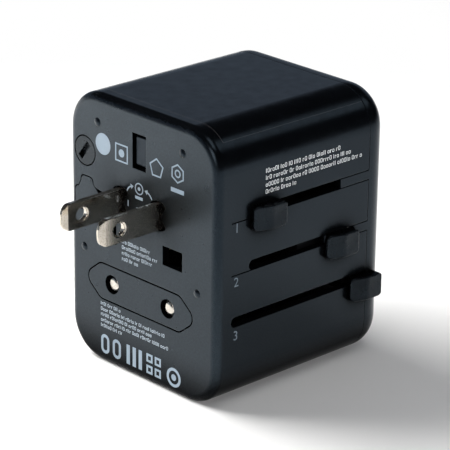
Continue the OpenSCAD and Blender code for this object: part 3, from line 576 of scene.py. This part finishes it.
def strokeLoop(loop, width):
    # Band inside an outline: each corner moves along the bisector of its two edges, by the width over the sine
    # of half the angle
    back, ahead = loop - np.roll(loop, 1, 0), np.roll(loop, -1, 0) - loop
    back, ahead = (v / np.linalg.norm(v, axis=1)[:, None] for v in (back, ahead))
    normals = [np.column_stack([-v[:, 1], v[:, 0]]) for v in (back, ahead)]
    bisector = normals[0] + normals[1]
    bisector /= (bisector * normals[0]).sum(1)[:, None]
    return loop, loop + bisector * width


def solidMark(loop, place):
    # Prism: the outline at two depths
    return stackLoops([place(loop, depth) for depth in (0, 1)])


def bandMark(loops, place):
    # Closed band: outer and inner outline at two depths
    outer, inner = loops
    rows = [place(outer, 1), place(inner, 1), place(inner, 0), place(outer, 0)]
    return np.concatenate(rows), gridFaces(4, len(outer), closeRows=True)


def onFront(loop, depth):
    # Outline in millimetres to places on the front face, at depth 0 in it and at depth 1 out of it
    y = frontY + marks["sunk"] - depth * marks["thickness"]
    return np.column_stack([loop[:, 0] * mm, np.full(len(loop), y), loop[:, 1] * mm])


def onSide(loop, depth):
    # The same on the side with the sliders, measured from the front face
    x = sideX - marks["sunk"] + depth * marks["thickness"]
    return np.column_stack([np.full(len(loop), x), frontY + loop[:, 0] * mm, loop[:, 1] * mm])


def printedLine(rng, left, right, foot, height, place):
    # Words of small upright dashes and rings, as wide as letters and saying nothing
    share = marks["dashes"]
    parts, x, word = [], left, rng.integers(3, 8)
    while x < right - share["rightMargin"] * height:
        kind = rng.integers(0, 4)
        width, tall = (height * part for part in share["kinds"][kind])
        if kind in (1, 2):
            outline = resample(roundedRectangle(width, tall, 0.25 * width, 4), 16)
            band = strokeLoop(outline, share["ringStroke"] * height)
            parts.append(bandMark([side + [x + width / 2, foot + tall / 2] for side in band], place))
        else:
            bar = min(width, share["barWidth"] * height)
            parts.append(solidMark(rectangle(x, x + bar, foot, foot + tall), place))
            if kind == 3:
                low = foot + tall - share["serif"] * height
                parts.append(solidMark(rectangle(x, x + width, low, foot + tall), place))
        x += width + share["gap"] * height
        word -= 1
        if word == 0:
            x += share["wordGap"] * height
            word = rng.integers(2, 9)
    return parts


def arrowMark(x0, z0, x1, z1, bulge, values):
    # Curved shaft: the straight line plus a parabola across it, with a triangle at its end
    t = np.linspace(0, 1, 9)[:, None]
    run = np.array([x1 - x0, z1 - z0])
    across = np.array([-run[1], run[0]]) / np.linalg.norm(run)
    middle = np.array([x0, z0]) + run * t + across * bulge * 4 * t * (1 - t)
    half = across * values["arrowHalfWidth"]
    shaft = np.vstack([middle[:7] + half, middle[:7][::-1] - half])
    headWidth, further = values["arrowHead"]
    tip = middle[-1] - middle[6]
    side = np.array([-tip[1], tip[0]]) / np.linalg.norm(tip) * headWidth
    head = np.array([middle[6] - side, middle[-1] + tip * further, middle[6] + side])
    return [solidMark(loop, onFront) for loop in (shaft, head)]


def frontMarks(values):
    # Every mark on the front face but the lines of print
    parts = []

    def filled(loop):
        parts.append(solidMark(loop, onFront))

    def outlined(loop, width):
        parts.append(bandMark(strokeLoop(loop, width), onFront))

    stroke = values["stroke"]
    filled(regular(*values["disc"], 48))
    x, z, size, dot = values["square"]
    outlined(square(x, z, size), stroke)
    filled(regular(x, z, dot, 24))
    outlined(regular(*values["pentagon"], 5), stroke)
    x, z, radius, share = values["hexagon"]
    outlined(regular(x, z, radius, 6), stroke)
    outlined(regular(x, z, share * radius, 24), stroke)
    for bar in values["bars"]:
        filled(rectangle(*bar))
    x, z, radius, width, dot = values["ring"]
    outlined(regular(x, z, radius, 36), width)
    filled(regular(x, z, dot, 20))
    for arrow in values["arrows"]:
        parts.extend(arrowMark(*arrow, values))
    places, z, width, height, corner, rim = values["pills"]
    for x in places:
        outlined(roundedRectangle(width, height, corner, 10) + [x, z], rim)
    places, width, low, high = values["footBars"]
    for x in places:
        filled(rectangle(x, x + width, low, high))
    across, up, size, rim = values["tiles"]
    for x in across:
        for z in up:
            outlined(square(x, z, size), rim)
    x, z, radius, rim, dot = values["target"]
    outlined(regular(x, z, radius, 40), rim)
    filled(regular(x, z, dot, 24))
    return parts


def numberMesh(text, y, z, values):
    # A figure from the default typeface, filled front and back, stood on the side of the case
    data = bpy.data.curves.new("number" + text, "FONT")
    data.body, data.size = text, values["numberHeight"] * mm * values["typeSize"]
    data.extrude = values["thickness"] / 2
    figure = bpy.data.objects.new("number" + text, data)
    bpy.context.scene.collection.objects.link(figure)
    bpy.context.view_layer.update()
    mesh = bpy.data.meshes.new_from_object(figure.evaluated_get(bpy.context.evaluated_depsgraph_get()))
    bpy.data.objects.remove(figure)
    verts = np.array([v.co for v in mesh.vertices])
    faces = [list(face.vertices) for face in mesh.polygons]
    stood = np.column_stack([verts[:, 2] + sideX - values["sunk"] + values["thickness"] / 2,
                             verts[:, 0] + frontY + y * mm, verts[:, 1] + z * mm])
    return stood, faces


rng = np.random.default_rng(11)
frontParts = frontMarks(marks)
lineParts = []
for line in marks["frontLines"]:
    lineParts += printedLine(rng, *line, onFront)
sideParts = []
for line in marks["sideLines"]:
    sideParts += printedLine(rng, *line, onSide)
numberParts = [numberMesh(*number, marks) for number in marks["numbers"]]
for name, parts, ink in (("front_marks", frontParts, printPale), ("front_lines", lineParts, printLines),
                         ("side_marks", sideParts, printWhite), ("side_numbers", numberParts, printGrey)):
    dress(meshObject(name, *joinMeshes(parts), smooth=False), "case", "white_plastic", ink)
print("marks ready")


studio = {
    # brightness of the room: below the first height (sine of elevation) and above the second
    "worldLow": (0.19, 0.235, 0.3), "worldHigh": (0.006, 0.007, 0.01), "worldRise": (0.345, 0.43),
    "worldRight": (-0.4, 0.0),     # and it is dark to the right of these directions
    # floor colour near the object and, painted darker as a painted shade that the case's glossy faces reflect,
    # further off to the right and to the front, and between which distances it changes there
    "floorNear": (0.9, 0.9, 0.9), "floorPaintedShade": (0.6, 0.62, 0.65),
    "floorRight": (0.69, 0.724, 0), "rightChange": (0.06, 0.16),
    "floorFront": (0.724, -0.69, 0), "frontChange": (0.075, 0.13),
    "floorSize": 3.0,
    "whiteFrom": (0.09, 0.22),     # behind the object the floor turns plain white between these distances
    "whiteBehind": (-0.69, 0.724, 0),
    "lamps": {
        # name: place, aimed at, width, height, watts, colour, seen in gloss
        "keyBox": ((-0.37, -0.15, 0.35), (-0.05, -0.05, 0.0), 0.38, 0.38, 5.8, (1, 0.99, 0.97), False),
        "skyBox": ((0, 0, 1.3), (0, 0, 0), 1.6, 1.6, 2.0, (1, 1, 1), False),
        "sideFill": ((0.55, 0.1, 0.16), (0.02, 0, 0.04), 0.3, 0.2, 1.6, (1, 1, 1), False),
        "overheadBox": ((0.36, -0.12, 0.86), (0.02, -0.02, 0.06), 0.45, 0.45, 0.8, (1, 1, 1), True),
        "frontBox": ((0.42, -0.86, 0.44), (0.02, -0.02, 0.06), 0.44, 0.44, 1.5, (1, 0.97, 0.97), True),
        "leftStrip": ((-0.9, -0.22, 0.04), (0, -0.03, 0.04), 0.5, 0.12, 0.3, (1, 1, 1), True),
        "rearBox": ((0.40, 0.66, 0.70), (0.02, 0, 0.06), 0.30, 0.34, 0.22, (0.85, 0.93, 1), True),
    },
}


def lookFrom(place, target):
    return (Vector(target) - Vector(place)).to_track_quat("-Z", "Y").to_matrix().to_4x4()


def buildRoom(values):
    # The room's brightness depends on how high a direction points
    world = bpy.data.worlds.new("studioRoom")
    bpy.context.scene.world = world
    world.use_nodes = True
    tree = world.node_tree
    background = tree.nodes["Background"]
    place = tree.nodes.new("ShaderNodeTexCoord")
    split = tree.nodes.new("ShaderNodeSeparateXYZ")
    tree.links.new(place.outputs["Object"], split.inputs[0])
    dark = calculate(tree, "MAXIMUM", addRange(tree, split.outputs["Z"], 0, 1, *values["worldRise"]),
                     addRange(tree, split.outputs["X"], 0, 1, *values["worldRight"]))
    color = mixColors(tree, dark, values["worldLow"], values["worldHigh"])
    tree.links.new(color, background.inputs["Color"])


def buildFloor(values):
    # Matt and pale, painted darker further off to the right and the front as a painted shade, and behind the
    # object plain white for the camera, mirrors and glass
    size = values["floorSize"]
    floor = meshObject("floor", [[-size, -size, 0], [size, -size, 0], [size, size, 0], [-size, size, 0]],
                       [[0, 1, 2, 3]], smooth=False)
    material, tree, shader = newMaterial("floorWhite")
    shader.inputs["Roughness"].default_value = 0.9
    shader.inputs["Specular IOR Level"].default_value = 0.1
    place = tree.nodes.new("ShaderNodeTexCoord")

    def span(direction, limits):
        # Share of the way between two distances in one direction
        far = tree.nodes.new("ShaderNodeVectorMath")
        far.operation = "DOT_PRODUCT"
        far.inputs[1].default_value = values[direction]
        tree.links.new(place.outputs["Object"], far.inputs[0])
        return addRange(tree, far.outputs["Value"], 0, 1, *values[limits])

    right = span("floorRight", "rightChange")
    # painted shade: the floor darkens away from the object, to the right and to the front
    paintedShade = calculate(tree, "MAXIMUM", right, span("floorFront", "frontChange"))
    color = mixColors(tree, paintedShade, values["floorNear"], values["floorPaintedShade"])
    tree.links.new(color, shader.inputs["Base Color"])
    behind = span("whiteBehind", "whiteFrom")
    share = calculate(tree, "MULTIPLY", behind, calculate(tree, "SUBTRACT", 1, right))
    path = tree.nodes.new("ShaderNodeLightPath")
    mirrored = calculate(tree, "MAXIMUM", path.outputs["Is Glossy Ray"], path.outputs["Is Transmission Ray"])
    seen = calculate(tree, "MAXIMUM", path.outputs["Is Camera Ray"], mirrored)
    white = tree.nodes.new("ShaderNodeEmission")
    blend = tree.nodes.new("ShaderNodeMixShader")
    tree.links.new(calculate(tree, "MULTIPLY", seen, share), blend.inputs[0])
    tree.links.new(shader.outputs[0], blend.inputs[1])
    tree.links.new(white.outputs[0], blend.inputs[2])
    output = next(node for node in tree.nodes if node.type == "OUTPUT_MATERIAL")
    tree.links.new(blend.outputs[0], output.inputs[0])
    paint(floor, material)


def buildLamps(values):
    for name, (place, target, width, height, watts, color, inGloss) in values["lamps"].items():
        lamp = bpy.data.lights.new(name, "AREA")
        lamp.shape = "RECTANGLE"
        lamp.size, lamp.size_y = width, height
        lamp.energy = watts
        lamp.color = color
        box = bpy.data.objects.new(name, lamp)
        box.matrix_world = Matrix.Translation(place) @ lookFrom(place, target)
        box.visible_glossy = inGloss
        bpy.context.scene.collection.objects.link(box)


camera = {
    "azimuth": 46.399, "elevation": 21.009, "roll": 0.7406,            # degrees
    "distance": 0.575107, "target": (0, 0.0001, 0.032757),             # metres
    "lens": 197.74456, "sensor": 36,                                   # millimetres
    "shift": (-0.00853244, -0.01342178),                               # shares of the frame's width
}


def buildCamera(values):
    # Looks at the target from the given angles, turned by roll about the line of sight
    a, e, roll = (math.radians(values[k]) for k in ("azimuth", "elevation", "roll"))
    back = Vector((math.sin(a) * math.cos(e), -math.cos(a) * math.cos(e), math.sin(e)))
    right = (-back).cross(Vector((0, 0, 1))).normalized()
    up = right.cross(-back)
    c, s = math.cos(roll), math.sin(roll)
    turnedRight, turnedUp = c * right + s * up, -s * right + c * up
    place = Vector(values["target"]) + back * values["distance"]
    data = bpy.data.cameras.new("studioCamera")
    data.sensor_width = values["sensor"]
    data.lens = values["lens"]
    data.shift_x, data.shift_y = values["shift"]
    data.clip_start = 0.01
    view = bpy.data.objects.new("studioCamera", data)
    turn = Matrix((turnedRight, turnedUp, back)).transposed().to_4x4()
    view.matrix_world = Matrix.Translation(place) @ turn
    bpy.context.scene.collection.objects.link(view)
    bpy.context.scene.camera = view


buildRoom(studio)
buildFloor(studio)
buildLamps(studio)
buildCamera(camera)
bpy.context.scene.view_settings.view_transform = "Standard"
print("studio ready")
